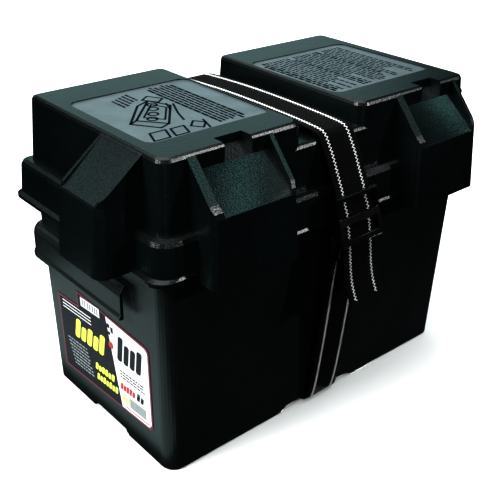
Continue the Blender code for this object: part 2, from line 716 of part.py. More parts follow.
def terminal(sign):
    """Lead: a rod up from the cell's cast strap, a pad on the cover, and a tapered post on the pad."""
    at = (sign * POST_X, POST_Y)
    radius = 9.2 if sign > 0 else 8.5
    foot, neck = CAST_Z[1] + GAP, COVER_TOP - 8
    rod = turned(at, [(6.5, foot), (6.5, neck), (9.2, neck + 3), (9.2, PAD_BOTTOM + 1)])
    middle = (sign * (POST_X - STUD_STEP_X / 2), POST_Y)
    pad = prism(rounded(middle, (27.0, 12.5), 7.0, 4), "z", PAD_BOTTOM, PAD_TOP)
    post = turned(at, [(radius, PAD_TOP - 1), (radius - 1.0, PAD_TOP + 15), (radius - 2.2, PAD_TOP + 16)])
    shape = combine(rod, [pad, post], "UNION")
    seat = (sign * (POST_X - STUD_STEP_X), POST_Y)
    hole = turned(seat, [(STUD_RADIUS + GAP, PAD_TOP - 4), (STUD_RADIUS + GAP, PAD_TOP + 1)])
    return combine(shape, hole, "DIFFERENCE")


def stud_at(sign):
    return (sign * (POST_X - STUD_STEP_X), POST_Y)


def stud(sign):
    """A threaded stud; its thread is a row of grooves."""
    low, high = PAD_TOP - 4 + GAP, PAD_TOP + 23
    profile = [(STUD_RADIUS - 0.4, low), (STUD_RADIUS, low + 0.5)]
    z = PAD_TOP + 4.0
    while z < high - 2.5:
        profile += [(STUD_RADIUS, z), (STUD_RADIUS - 0.6, z + 0.8)]
        z += 1.6
    return turned(stud_at(sign), profile + [(STUD_RADIUS, high - 1), (STUD_RADIUS - 1, high)], 12)


def washer(sign):
    low = PAD_TOP + GAP
    hole, edge = STUD_RADIUS + 0.4, 9.0
    return turned(stud_at(sign), [(hole, low), (edge, low), (edge, low + 1.6), (hole, low + 1.6)], loop=True)


def wing_nut(sign):
    low = PAD_TOP + GAP + 1.6 + GAP
    at = stud_at(sign)
    body = turned(at, [(8.0, low), (7.0, low + 6), (6.0, low + 7)], 20)
    wing = [(3.5, low + 2.5), (7.5, low + 2.0), (15.5, low + 8.5), (16.5, low + 13.0), (13.5, low + 14.5)]
    wing += [(8.5, low + 9.5), (3.5, low + 6.5)]
    for side in (-1, 1):
        outline = [(at[0] + side * x, z) for x, z in wing]
        body = combine(body, prism(outline, "y", at[1] - 1.4, at[1] + 1.4), "UNION")
    bore = turned(at, [(STUD_RADIUS + GAP, low - 1), (STUD_RADIUS + GAP, low + 9)], 20)
    return combine(body, bore, "DIFFERENCE")


def vent_cap(index):
    """A cap with a gripped rim, a coin slot on top and a hollow stem."""
    at = (cell_x(index), 0.0)
    seat = COVER_TOP + 2 + 1.8 + 2 * GAP
    steps = 32

    def gripped(radius, depth):
        angles = [math.tau * i / steps for i in range(steps)]
        radii = [radius - (depth if i % 4 == 0 else 0.0) for i in range(steps)]
        return [(at[0] + r * math.cos(a), at[1] + r * math.sin(a)) for a, r in zip(angles, radii)]

    rings = [
        (circle(at, 9.0, steps), seat - 15),
        (circle(at, 9.9, steps), seat - 14),
        (circle(at, 9.9, steps), seat),
        (gripped(14.5, 1.2), seat),
        (gripped(14.5, 1.2), seat + 5.5),
        (gripped(12.8, 0.4), seat + 7),
    ]
    shape = loft([at_height(outline, z) for outline, z in rings])
    slot = block((at[0] - 9, at[0] + 9), (at[1] - 1.6, at[1] + 1.6), (seat + 4.5, seat + 9))
    hollow = turned(at, [(7.4, seat - 16), (7.4, seat - 1), (6.6, seat)])
    return combine(shape, [slot, hollow], "DIFFERENCE")


def vent_seal(index):
    low = COVER_TOP + 2 + GAP
    section = [(11.2, low), (13.4, low), (13.6, low + 0.9), (13.4, low + 1.8), (11.2, low + 1.8)]
    return turned((cell_x(index), 0.0), section, loop=True)


# ---- assembly -------------------------------------------------------------------------------------------


def shifted(shape, x):
    moved = shape.copy()
    for vertex in moved.verts:
        vertex.co.x += x
    return moved


def build():
    for obj in list(bpy.data.objects):
        bpy.data.objects.remove(obj)
    material = {name: make_material(name, *values) for name, values in MATERIALS.items()}
    box = bpy.data.objects.new("box_centre", None)
    box.location = (0.0, BOX_SHIFT_Y * MM, 0.0)
    bpy.context.scene.collection.objects.link(box)

    add("box_base", box_base(), material["box_plastic"], box)
    add("box_label", box_label(), material["sticker"], box)
    add("strap_under", strap_under(), material["webbing"], box)

    lid = bpy.data.objects.new("lid_lift", None)
    lid.parent = box
    bpy.context.scene.collection.objects.link(lid)
    add("box_lid", box_lid(), material["lid_plastic"], lid)
    add("strap_over", strap_over(), material["webbing"], lid)
    add("strap_loop", strap_loop(), material["webbing"], lid)
    add("buckle", buckle(), material["buckle_plastic"], lid)

    add("battery_case", battery_case(), material["case_plastic"], box)
    add("battery_cover", battery_cover(), material["cover_plastic"], box)
    pack = plate_pack()
    for i in range(CELLS):
        add(f"plate_pack_{i + 1}", shifted(pack, cell_x(i)), material["plates"], box)
        centre = (cell_x(i), 0.0, COVER_TOP)
        add(f"vent_cap_{i + 1}", vent_cap(i), material["vent_plastic"], box, centre)
        add(f"vent_seal_{i + 1}", vent_seal(i), material["seal_rubber"], box)
    for i in range(CELLS - 1):
        add(f"cell_link_{i + 1}", cell_link(i), material["lead"], box)
    for sign, end in ((1, "pos"), (-1, "neg")):
        add(f"terminal_{end}", terminal(sign), material["lead"], box)
        add(f"stud_{end}", stud(sign), material["steel"], box)
        add(f"washer_{end}", washer(sign), material["steel"], box)
        add(f"wing_nut_{end}", wing_nut(sign), material["steel"], box, (*stud_at(sign), PAD_TOP))


build()
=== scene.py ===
"""The looks of the strapped battery box and of the battery in it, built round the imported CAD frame."""

import math
import random

import bmesh
import bpy
from mathutils import Matrix, Vector


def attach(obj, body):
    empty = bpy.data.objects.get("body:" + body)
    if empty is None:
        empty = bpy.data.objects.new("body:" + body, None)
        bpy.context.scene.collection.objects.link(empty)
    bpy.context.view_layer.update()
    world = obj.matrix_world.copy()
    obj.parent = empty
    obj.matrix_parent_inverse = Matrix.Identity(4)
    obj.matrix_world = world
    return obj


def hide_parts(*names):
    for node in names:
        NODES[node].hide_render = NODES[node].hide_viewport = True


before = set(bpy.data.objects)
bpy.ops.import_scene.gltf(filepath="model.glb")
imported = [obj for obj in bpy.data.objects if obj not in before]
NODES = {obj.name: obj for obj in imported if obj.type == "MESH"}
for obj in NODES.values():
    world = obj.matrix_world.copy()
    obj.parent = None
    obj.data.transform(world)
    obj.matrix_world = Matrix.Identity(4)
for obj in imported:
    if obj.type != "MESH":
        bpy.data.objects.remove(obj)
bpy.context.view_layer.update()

MM = 0.001  # lengths below are in millimetres, unless they belong to a shader

SHIFT_Y = 14.0  # from the box's centre line to the frame's origin
LID_TOP = 278.0
PANEL_DEPTH = 1.2
PANELS_X = ((-156.4, -40.0), (34.0, 156.4))  # the recesses' ends on the two raised blocks
PANEL_Y = (-58.5, 55.0)
PANEL_MARGIN = 1.0  # how far the paler floor's mask reaches past a recess's sides
FLOOR_MARGIN = 0.4  # and above and below its floor

STRAP_X = 0.0
STRAP_WIDTH = 38.0
STRAP_THICK = 1.5
STRAP_EDGE = 1.2  # how far in the woven edge is rounded
STRAP_THINNED = 0.55  # the share of the thickness lost at the very edge
STRAP_CELLS = 10  # faces across the webbing
PATH_PIECES = 8  # straight pieces between two of the strap's guide points
LOOP_PIECES = 6
LOOP_NARROWER = 1.2
LOOP_STITCHED = 26.0  # length of the loop's sewn end

STITCH_ROW = 12.2  # from the strap's middle to a row of stitches
STITCH_SWING = 1.2
STITCH_STEP = 1.5
STITCH_RADIUS = 0.5
STITCH_LIFT = 0.12
STITCH_END = 1.0  # left bare at each end of a row

BUCKLE_TOP = (-115.5, 218.0)  # (Y, Z) of its upper edge
BUCKLE_LEAN = math.radians(10.0)

LABEL_WALL = 169.4  # the -X wall's distance at Z = 0
LABEL_DRAFT = 0.0165
LABEL_FACE = 0.47  # the sticker's thickness on the wall
LABEL_START = 73.0
LABEL_SKEW = 0.066  # how much its lower edge rises along the wall
LABEL_FOOT = 24.4
LABEL_SPLIT = -22.9  # where its black half ends at the foot
LABEL_MARGIN = 1.6

PRINT_LIFT = 0.01
PRINT_THICK = 0.06
SHARP_ANGLE = math.radians(35)
BEVEL_ANGLE = math.radians(32)
BEVEL_SEGMENTS = 2
FLAT_ANGLE = math.radians(0.3)
WELD_DISTANCE = 0.01


def place(x, y, z):
    """A point of the box, in mm from its centre line, as a point of the frame in metres."""
    return Vector((x, y + SHIFT_Y, z)) * MM


# ---- materials -----------------------------------------------------------------------------------


class Nodes:
    """Short spellings for building one material's node tree."""

    def __init__(self, name):
        self.material = bpy.data.materials.new(name)
        self.material.use_nodes = True
        self.tree = self.material.node_tree
        self.shader = self.tree.nodes["Principled BSDF"]
        self.coordinates = self.tree.nodes.new("ShaderNodeTexCoord")

    def add(self, kind, settings=None, **inputs):
        """A node with its settings; inputs go by socket name, or by number as i0, i1 and so on."""
        node = self.tree.nodes.new("ShaderNode" + kind)
        for key, value in (settings or {}).items():
            setattr(node, key, value)
        for key, value in inputs.items():
            self.feed(node, key, value)
        return node

    def feed(self, node, key, value):
        socket = node.inputs[int(key[1:])] if key[1:].isdigit() else node.inputs[key]
        if isinstance(value, bpy.types.NodeSocket):
            self.tree.links.new(value, socket)
        else:
            socket.default_value = value

    def math(self, operation, first, second=0.0, **settings):
        settings["operation"] = operation
        return self.add("Math", settings, i0=first, i1=second).outputs[0]

    def sum(self, first, share, second, other_share=1.0):
        """Two values added up, each with its own weight."""
        first = self.math("MULTIPLY", first, share)
        if other_share != 1.0:
            second = self.math("MULTIPLY", second, other_share)
        return self.math("ADD", first, second)

    def noise(self, scale, detail=2.0, roughness=0.5):
        where = self.coordinates.outputs["Object"]
        node = self.add("TexNoise", None, Vector=where, Scale=scale, Detail=detail, Roughness=roughness)
        return node.outputs["Fac"]

    def ramp(self, factor, *stops):
        """A colour that runs between two stops, each a position and a colour."""
        node = self.add("ValToRGB", None, Fac=factor)
        for element, (position, colour) in zip(node.color_ramp.elements, stops):
            element.position = position
            element.color = (*colour, 1.0)
        return node.outputs["Color"]

    def level(self, factor, low, high):
        """A noise's usual spread of values, spread from low to high instead."""
        node = self.add("MapRange", None, Value=factor)
        for key, value in (("From Min", 0.3), ("From Max", 0.7), ("To Min", low), ("To Max", high)):
            node.inputs[key].default_value = value
        return node.outputs["Result"]

    def bump(self, height, strength, distance, normal=None):
        node = self.add("Bump", None, Height=height, Strength=strength, Distance=distance)
        if normal is not None:
            self.feed(node, "Normal", normal)
        return node.outputs["Normal"]

    def set(self, **inputs):
        for key, value in inputs.items():
            self.feed(self.shader, key.replace("_", " "), value)


def moulded(name, dark, light, grain, depth, rough, shine):
    """Grained moulding: pebbles of a size in metres, flow marks in colour and gloss, and fine scuffs."""
    n = Nodes(name)
    flow = n.noise(9.0, 4.0)
    scuff = n.noise(160.0, 6.0, 0.7)
    colour = n.ramp(n.sum(flow, 0.7, scuff, 0.3), (0.3, dark), (0.72, light))
    where = n.coordinates.outputs["Object"]
    cells = n.add("TexVoronoi", {"feature": "SMOOTH_F1"}, Vector=where, Scale=1.0 / grain)
    cells.inputs["Smoothness"].default_value = 0.6
    pebble = n.sum(n.noise(1.6 / grain, 3.0), 0.7, cells.outputs["Distance"])
    normal = n.bump(pebble, 0.6, depth)
    normal = n.bump(flow, 0.12, 0.0015, normal)
    n.set(Base_Color=colour, Normal=normal, Roughness=n.level(n.sum(flow, 0.5, scuff, 0.5), *rough))
    n.shader.inputs["Specular IOR Level"].default_value = shine
    return n


def webbing_material():
    """Woven webbing from its own across and along lengths: ribs, crossing threads with painted shade in
    their low spots, and a soft fuzz.
    """
    rib, cross = 0.0019, 0.0026  # metres from one rib or crossing thread to the next
    n = Nodes("webbing_black")
    uv = n.add("UVMap", {"uv_map": "weave"}).outputs["UV"]
    parts = n.add("SeparateXYZ", None, Vector=uv).outputs
    across = n.math("MULTIPLY", parts["X"], math.tau / rib)
    along = n.math("MULTIPLY", parts["Y"], math.tau / cross)
    wave = n.math("SINE", n.math("MULTIPLY", across, 0.5))
    twill = n.math("SINE", n.sum(wave, 1.5, along))
    height = n.sum(twill, 0.3, n.math("ABSOLUTE", wave))
    fuzz = n.noise(2600.0, 3.0)
    dust = n.noise(38.0, 5.0)
    # the colour follows the weave's height as well as dust: painted shade darkens it where the threads lie
    # low
    colour = n.ramp(
        n.sum(height, 0.35, dust, 0.45),
        (0.2, (0.0008, 0.0008, 0.001)),
        (0.85, (0.004, 0.0043, 0.0045)),
    )
    normal = n.bump(n.sum(fuzz, 0.35, height), 0.8, 0.0004)
    n.set(Base_Color=colour, Normal=normal, Roughness=n.level(fuzz, 0.6, 0.85))
    n.shader.inputs["Specular IOR Level"].default_value = 0.05
    n.shader.inputs["Sheen Weight"].default_value = 0.02
    return n.material


def thread_material():
    n = Nodes("thread_white")
    fibre = n.noise(4200.0, 3.0)
    colour = n.ramp(n.noise(90.0, 3.0), (0.3, (0.6, 0.61, 0.6)), (0.7, (0.84, 0.85, 0.84)))
    n.set(Base_Color=colour, Normal=n.bump(fibre, 0.5, 0.0002), Roughness=n.level(fibre, 0.55, 0.8))
    return n.material


def printed(name, low, high, rough=0.35, shine=0.5):
    """Ink on film, with the film's slight mottle and wrinkle."""
    n = Nodes(name)
    mottle = n.noise(420.0, 4.0, 0.65)
    wrinkle = n.bump(n.noise(26.0, 2.0), 0.15, 0.0008)
    colour = n.ramp(mottle, (0.3, low), (0.7, high))
    n.set(Base_Color=colour, Normal=wrinkle, Roughness=n.level(mottle, rough - 0.06, rough + 0.1))
    n.shader.inputs["Specular IOR Level"].default_value = shine
    return n.material


def metal(name, low, high, rough, grain=900.0, dent=0.0003):
    n = Nodes(name)
    colour = n.ramp(n.noise(60.0, 5.0, 0.6), (0.3, low), (0.7, high))
    fine = n.noise(grain, 4.0, 0.7)
    n.set(Base_Color=colour, Normal=n.bump(fine, 0.35, dent), Roughness=n.level(fine, *rough))
    n.shader.inputs["Metallic"].default_value = 1.0
    return n.material


def between(n, value, low, high):
    """1 where a coordinate lies between two lengths, else 0."""
    middle, reach = (low + high) / 2, (high - low) / 2
    return n.add("Math", {"operation": "COMPARE"}, i0=value, i1=middle * MM, i2=reach * MM).outputs[0]


def lid_material():
    """The lid's grained plastic, with a paler floor in each recessed panel."""
    dark, light = (0.0025, 0.0044, 0.0047), (0.005, 0.0085, 0.009)
    n = moulded("lid_grain", dark, light, 0.0019, 0.00016, (0.26, 0.36), SHINE)
    parts = n.add("SeparateXYZ", None, Vector=n.coordinates.outputs["Object"]).outputs
    floor_z = LID_TOP - PANEL_DEPTH
    in_y = between(n, parts["Y"], PANEL_Y[0] + SHIFT_Y - PANEL_MARGIN, PANEL_Y[1] + SHIFT_Y + PANEL_MARGIN)
    in_z = between(n, parts["Z"], floor_z - FLOOR_MARGIN, floor_z + FLOOR_MARGIN)
    in_x = [between(n, parts["X"], low - PANEL_MARGIN, high + PANEL_MARGIN) for low, high in PANELS_X]
    mask = n.math("ADD", *in_x, use_clamp=True)
    mask = n.math("MULTIPLY", n.math("MULTIPLY", mask, in_y), in_z)
    pale = n.ramp(n.noise(55.0, 5.0), (0.3, (0.06, 0.076, 0.084)), (0.7, (0.085, 0.106, 0.116)))
    blend = n.add("Mix", {"data_type": "RGBA"})
    grained = n.shader.inputs["Base Color"].links[0].from_socket
    for key, value in (("Factor", mask), ("A", grained), ("B", pale)):
        n.tree.links.new(value, blend.inputs[key])
    n.set(Base_Color=blend.outputs["Result"])
    return n.material


SHINE = 0.32  # the box's and the lid's share of the usual reflection
SATIN_DEPTH = 0.00005
FINE_DEPTH = 0.00003

BLACK = moulded(
    "box_grain", (0.006, 0.0078, 0.008), (0.011, 0.014, 0.0145), 0.0016, 0.00008, (0.26, 0.38), SHINE
).material
LID = lid_material()
INK = printed("panel_ink", (0.0012, 0.003, 0.0045), (0.003, 0.006, 0.009), 0.6, 0.03)
BUCKLE = moulded(
    "buckle_satin", (0.002, 0.002, 0.0025), (0.004, 0.004, 0.005), 0.0006, FINE_DEPTH, (0.24, 0.34), 0.25
).material
WEBBING = webbing_material()
THREAD = thread_material()
CASE = moulded(
    "case_satin", (0.012, 0.013, 0.014), (0.022, 0.023, 0.025), 0.0016, SATIN_DEPTH, (0.3, 0.42), 0.4
).material
COVER = moulded(
    "cover_satin", (0.009, 0.0095, 0.011), (0.017, 0.018, 0.02), 0.0014, SATIN_DEPTH, (0.3, 0.45), 0.4
).material
PLATES = moulded(
    "plate_paste", (0.05, 0.045, 0.042), (0.16, 0.15, 0.14), 0.0008, 0.0001, (0.6, 0.85), 0.2
).material
VENT = moulded(
    "vent_yellow", (0.55, 0.36, 0.02), (0.72, 0.5, 0.04), 0.0009, FINE_DEPTH, (0.3, 0.42), 0.45
).material
RUBBER = moulded(
    "seal_rubber", (0.006, 0.006, 0.006), (0.014, 0.014, 0.014), 0.0005, FINE_DEPTH, (0.6, 0.8), 0.3
).material
LEAD = metal("cast_lead", (0.2, 0.205, 0.215), (0.36, 0.37, 0.385), (0.4, 0.6))
STEEL = metal("bright_steel", (0.5, 0.5, 0.51), (0.68, 0.68, 0.69), (0.18, 0.34), 1500.0, 0.00008)
FILM_BLACK = printed("film_black", (0.003, 0.002, 0.005), (0.009, 0.007, 0.012), 0.4, 0.15)
FILM_WHITE = printed("film_white", (0.72, 0.7, 0.71), (0.86, 0.84, 0.85))
FILM_RED = printed("film_red", (0.34, 0.004, 0.008), (0.5, 0.008, 0.014))
FILM_MAROON = printed("film_maroon", (0.1, 0.004, 0.02), (0.17, 0.008, 0.035))
FILM_YELLOW = printed("film_yellow", (0.72, 0.78, 0.06), (0.84, 0.9, 0.12))
FILM_GREY = printed("film_grey", (0.2, 0.22, 0.23), (0.32, 0.34, 0.35))


# ---- shapes --------------------------------------------------------------------------------------


def finish_piece(name, mesh, material, body, smooth=True):
    """A mesh as a piece that rides on a CAD body."""
    mesh.materials.append(material)
    if smooth:
        mesh.polygons.foreach_set("use_smooth", [True] * len(mesh.polygons))
        mesh.set_sharp_from_angle(angle=SHARP_ANGLE)
    piece = bpy.data.objects.new(name, mesh)
    bpy.context.scene.collection.objects.link(piece)
    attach(piece, body)
    return piece


def between_points(a, b, c, d, t):
    """A curve's value at t from b to c, with a and d as the values before and after them."""
    square = 2 * a - 5 * b + 4 * c - d
    cube = 3 * b - a - 3 * c + d
    return 0.5 * (2 * b + (c - a) * t + square * t**2 + cube * t**3)


def smooth_path(points, pieces):
    """A curve through all the points, as a list of points."""
    ends = [points[0]] + list(points) + [points[-1]]
    found = []
    for four in zip(ends, ends[1:], ends[2:], ends[3:]):
        for i in range(pieces):
            found.append(tuple(between_points(*values, i / pieces) for values in zip(*four)))
    return found + [points[-1]]


def sides_of(path):
    """For each point of a path in (Y, Z), the unit vector square to the path."""
    found = []
    for i in range(len(path)):
        a, b = path[max(0, i - 1)], path[min(len(path) - 1, i + 1)]
        length = math.hypot(b[0] - a[0], b[1] - a[1])
        found.append(((b[1] - a[1]) / length, -(b[0] - a[0]) / length))
    return found


def lengths_of(path):
    """The length along a path at each of its points."""
    found = [0.0]
    for a, b in zip(path, path[1:]):
        found.append(found[-1] + math.hypot(b[0] - a[0], b[1] - a[1]))
    return found


def on_buckle(down, out):
    """A point of the buckle's own plane, in (Y, Z): down from its top edge, and out from it."""
    y, z = BUCKLE_TOP
    sine, cosine = math.sin(BUCKLE_LEAN), math.cos(BUCKLE_LEAN)
    return (y - down * sine - out * cosine, z - down * cosine + out * sine)


def webbing_section(width):
    """The outline across the webbing, flat with rounded woven edges."""
    half = width / 2
    top = []
    for i in range(STRAP_CELLS + 1):
        u = -half + width * i / STRAP_CELLS
        edge = max(0.0, abs(u) - (half - STRAP_EDGE)) / STRAP_EDGE
        top.append((u, STRAP_THICK / 2 * (1.0 - STRAP_THINNED * edge**2)))
    return top + [(u, -v) for u, v in top[::-1]]


def webbing_piece(name, path, body, replaced, width=STRAP_WIDTH):
    """Flat webbing along a path in (Y, Z); its lengths across and along are the weave's coordinates."""
    section = webbing_section(width)
    count = len(section)
    shape = bmesh.new()
    weave = shape.loops.layers.uv.new("weave")
    lengths = lengths_of(path)
    rows = []
    for (y, z), (ny, nz) in zip(path, sides_of(path)):
        rows.append([shape.verts.new(place(STRAP_X + u, y + ny * out, z + nz * out)) for u, out in section])
    for r in range(len(rows) - 1):
        for i in range(count):
            j = (i + 1) % count
            face = shape.faces.new((rows[r][i], rows[r][j], rows[r + 1][j], rows[r + 1][i]))
            marks = ((i, r), (j, r), (j, r + 1), (i, r + 1))
            for loop, (k, row) in zip(face.loops, marks):
                loop[weave].uv = (section[k][0] * MM, lengths[row] * MM)
    shape.faces.new(rows[0][::-1])
    shape.faces.new(rows[-1])
    bmesh.ops.recalc_face_normals(shape, faces=shape.faces)
    mesh = bpy.data.meshes.new(name)
    shape.to_mesh(mesh)
    piece = finish_piece(name, mesh, WEBBING, body)
    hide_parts(replaced)


def along_path(path, lengths, where):
    """The point of the path at a length along it, and the unit vector square to the path there."""
    i = 0
    while lengths[i + 1] < where and i < len(path) - 2:
        i += 1
    run = lengths[i + 1] - lengths[i]
    t = (where - lengths[i]) / run
    (ay, az), (by, bz) = path[i], path[i + 1]
    return (ay + (by - ay) * t, az + (bz - az) * t), ((bz - az) / run, -(by - ay) / run)


def stitching(name, path, body, start=STITCH_END):
    """Two rows of zigzag stitches along the outside of webbing."""
    curve = bpy.data.curves.new(name, "CURVE")
    curve.dimensions = "3D"
    curve.bevel_depth = STITCH_RADIUS * MM
    curve.bevel_resolution = 1
    curve.use_fill_caps = True
    lengths = lengths_of(path)
    out = STRAP_THICK / 2 + STITCH_LIFT
    for row in (-STITCH_ROW, STITCH_ROW):
        points = []
        where, turn = start, 1
        while where < lengths[-1] - STITCH_END:
            (y, z), (ny, nz) = along_path(path, lengths, where)
            points.append(place(STRAP_X + row + turn * STITCH_SWING, y + ny * out, z + nz * out))
            where += STITCH_STEP
            turn = -turn
        spline = curve.splines.new("POLY")
        spline.points.add(len(points) - 1)
        for point, spot in zip(spline.points, points):
            point.co = (*spot, 1.0)
    curve.materials.append(THREAD)
    piece = bpy.data.objects.new(name, curve)
    bpy.context.scene.collection.objects.link(piece)
    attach(piece, body)


def flat_shapes(name, outlines, material, body, to_frame, thick):
    """Thin printed shapes from outlines in a surface's own (s, t); to_frame puts a point on the surface."""
    shape = bmesh.new()
    for outline in outlines:
        low = [shape.verts.new(to_frame(s, t, 0.0)) for s, t in outline]
        high = [shape.verts.new(to_frame(s, t, thick)) for s, t in outline]
        shape.faces.new(high)
        shape.faces.new(low[::-1])
        for i in range(len(outline)):
            j = (i + 1) % len(outline)
            shape.faces.new((low[i], low[j], high[j], high[i]))
    bmesh.ops.recalc_face_normals(shape, faces=shape.faces)
    mesh = bpy.data.meshes.new(name)
    shape.to_mesh(mesh)
    finish_piece(name, mesh, material, body, smooth=False)


def arc(centre, radius, start, end, steps):
    """Points round a circle, between two angles in degrees."""
    angles = [math.radians(start + (end - start) * i / steps) for i in range(steps + 1)]
    return [(centre[0] + radius * math.cos(a), centre[1] + radius * math.sin(a)) for a in angles]


def bar(s0, s1, t0, t1):
    return [(s0, t0), (s1, t0), (s1, t1), (s0, t1)]


# ---- CAD nodes -----------------------------------------------------------------------------------


def dress(node, material, bevel=0.0):
    """A CAD node with its finish, softly rounded along its edges by a radius."""
    piece = NODES[node]
    piece.data.materials.clear()
    piece.data.materials.append(material)
    weld = piece.modifiers.new("weld", "WELD")
    weld.merge_threshold = WELD_DISTANCE * MM
    if bevel:
        flat = piece.modifiers.new("flat", "DECIMATE")
        flat.decimate_type = "DISSOLVE"
        flat.angle_limit = FLAT_ANGLE
        edge = piece.modifiers.new("edge", "BEVEL")
        edge.width = bevel * MM
        edge.segments = BEVEL_SEGMENTS
        edge.limit_method = "ANGLE"
        edge.angle_limit = BEVEL_ANGLE


dress("box_base", BLACK, 0.9)
dress("box_lid", LID, 0.9)
dress("buckle", BUCKLE, 0.5)
dress("battery_case", CASE, 0.6)
dress("battery_cover", COVER, 0.6)
for end in ("pos", "neg"):
    dress(f"terminal_{end}", LEAD, 0.4)
    dress(f"stud_{end}", STEEL)
    dress(f"washer_{end}", STEEL, 0.15)
    dress(f"wing_nut_{end}", STEEL, 0.4)
for i in range(1, 7):
    dress(f"vent_cap_{i}", VENT, 0.3)
    dress(f"vent_seal_{i}", RUBBER)
    dress(f"plate_pack_{i}", PLATES)
for i in range(1, 6):
    dress(f"cell_link_{i}", LEAD, 0.4)


# ---- strap ---------------------------------------------------------------------------------------

# Guide points in (Y, Z), and those beside the buckle as (down, out) in its own plane.
OVER_BACK = [(110.9, 176.0), (110.9, 188.0), (110.6, 193.0), (108.6, 216.0), (107.2, 221.9)]
OVER_BACK += [(104.4, 230.0), (98.0, 256.0), (95.2, 260.6), (89.0, 262.6)]
OVER_TOP = [(60.0, 264.4), (30.0, 265.6), (0.0, 266.0), (-30.0, 265.8), (-60.0, 265.2), (-84.0, 263.9)]
OVER_FRONT = [(-90.5, 261.6), (-94.4, 256.5), (-101.8, 244.0), (-107.5, 232.0), (-112.2, 222.5)]
THREADED = [(2.5, -0.7), (7.5, -0.3), (16.0, 2.1), (29.0, 2.65), (36.0, 2.75), (43.5, 2.95)]
TAIL = [(-127.6, 164.0), (-129.6, 152.0), (-133.2, 140.0), (-138.6, 128.6)]
over = OVER_BACK + OVER_TOP + OVER_FRONT + [on_buckle(*spot) for spot in THREADED] + TAIL
over = smooth_path(over, PATH_PIECES)
webbing_piece("strap_over_webbing", over, "lid", "strap_over")
stitching("strap_over_stitches", over, "lid")

UNDER_FRONT = [(-113.9, 164.6), (-110.4, 134.0), (-108.4, 112.0)]
UNDER_FRONT += [(-104.2, 70.0), (-99.4, 30.0), (-95.4, 9.0)]
UNDER_BASE = [(-92.6, 4.6), (-88.0, 3.2), (-60.0, 3.0), (60.0, 3.0), (88.0, 3.2), (92.6, 4.6)]
UNDER_BACK = [(95.2, 9.0), (99.6, 40.0), (104.6, 100.0), (107.3, 134.0), (110.2, 165.0), (110.9, 175.6)]
under = smooth_path(UNDER_FRONT + UNDER_BASE + UNDER_BACK, PATH_PIECES)
webbing_piece("strap_under_webbing", under, "box", "strap_under")
stitching("strap_under_stitches", under, "box")

LOOP_START = [(-115.35, 165.5), (-116.1, 171.5)]
ROUND_BAR = [(36.4, -3.75), (33.0, -4.25), (30.0, -4.5), (27.0, -4.6), (25.0, -3.9), (24.4, -1.9)]
ROUND_BAR += [(25.0, 0.1), (27.0, 0.72), (30.0, 0.65), (33.5, -0.3), (38.0, -2.1)]
LOOP_END = [(-116.6, 171.5), (-115.3, 159.0)]
loop = smooth_path(LOOP_START + [on_buckle(*spot) for spot in ROUND_BAR] + LOOP_END, LOOP_PIECES)
webbing_piece("strap_loop_webbing", loop, "lid", "strap_loop", width=STRAP_WIDTH - LOOP_NARROWER)
stitching("strap_loop_stitches", loop, "lid", start=lengths_of(loop)[-1] - LOOP_STITCHED)


# ---- printing ------------------------------------------------------------------------------------


def stroke(points, width, closed=False):
    """Straight bars of one width along a line of points, each a little longer than its part of the line."""
    found = []
    for (ax, ay), (bx, by) in zip(points, points[1:] + points[:1] if closed else points[1:]):
        run = math.hypot(bx - ax, by - ay)
        nx, ny = (by - ay) / run * width / 2, -(bx - ax) / run * width / 2
        ex, ey = (bx - ax) / run * width / 4, (by - ay) / run * width / 4
        outline = [(ax - ex + nx, ay - ey + ny), (bx + ex + nx, by + ey + ny)]
        outline += [(bx + ex - nx, by + ey - ny), (ax - ex - nx, ay - ey - ny)]
        found.append(outline)
    return found


def word_row(rng, start, stop, low, high, word, space):
    """Bars of random lengths, as a row of words looks from a distance, from start down to stop."""
    found = []
    where = start
    while where - word[0] > stop:
        length = min(rng.uniform(*word), where - stop)
        found.append(bar(where - length, where, low, high))
        where -= length + space
    return found


def slanted(centres, low, highs, width, lean):
    """A row of upright bars that lean over, with cut corners."""
    shapes = []
    half, cut = width / 2, width * 0.22
    for y, high in zip(centres, highs):
        outline = [(half, cut), (half - cut, 0), (-half + cut, 0), (-half, cut)]
        outline += [(-half, high - cut), (-half + cut, high), (half - cut, high), (half, high - cut)]
        shapes.append([(y + a - lean * t, low + t) for a, t in outline])
    return shapes


def on_panel(s, t, lift):
    """The panels' own (Y, X), so that rows run along the panel's Y."""
    return place(t, s, LID_TOP - PANEL_DEPTH + PRINT_LIFT + lift)


def on_label(s, t, lift):
    """The sticker's own (Y, height), along its slightly turned edges."""
    z = t + (LABEL_START - s) * LABEL_SKEW
    return place(-(LABEL_WALL + LABEL_DRAFT * z) - LABEL_FACE - lift, s, z)


# A drawing of an open box with its terminals, and four signs beside it, as lines of (Y, X) and widths.
BOX_RIM = [(24, -100), (4, -92), (-30, -118), (-10, -134)]
DRAWING = [
    (BOX_RIM, 2.0, True),
    ([(y * 0.66 - 1, x * 0.66 - 37) for y, x in BOX_RIM], 1.6, True),
    ([(24, -100), (18, -114), (-14, -142), (-10, -134)], 2.0, False),
    ([(-30, -118), (-34, -128), (-14, -142)], 2.0, False),
]
for terminal in ((14, -103), (5, -108), (-5, -115), (-14, -122)):
    DRAWING.append((arc(terminal, 4.0, 0, 300, 9), 1.7, True))
DRAWING += [
    ([(34, -94), (22, -87), (16, -95), (28, -103)], 1.8, True),
    ([(6, -88), (-14, -98), (-30, -104)], 1.8, False),
    ([(10, -92), (-4, -98)], 1.6, False),
    ([(-39, -128), (-39, -142), (-54, -148), (-54, -134)], 1.8, True),
    ([(-40, -112), (-40, -124), (-54, -129), (-54, -117)], 1.8, True),
    ([(-36, -100), (-44, -94), (-52, -102), (-44, -108)], 1.8, True),
    ([(-38, -92), (-55, -98)], 1.8, False),
]


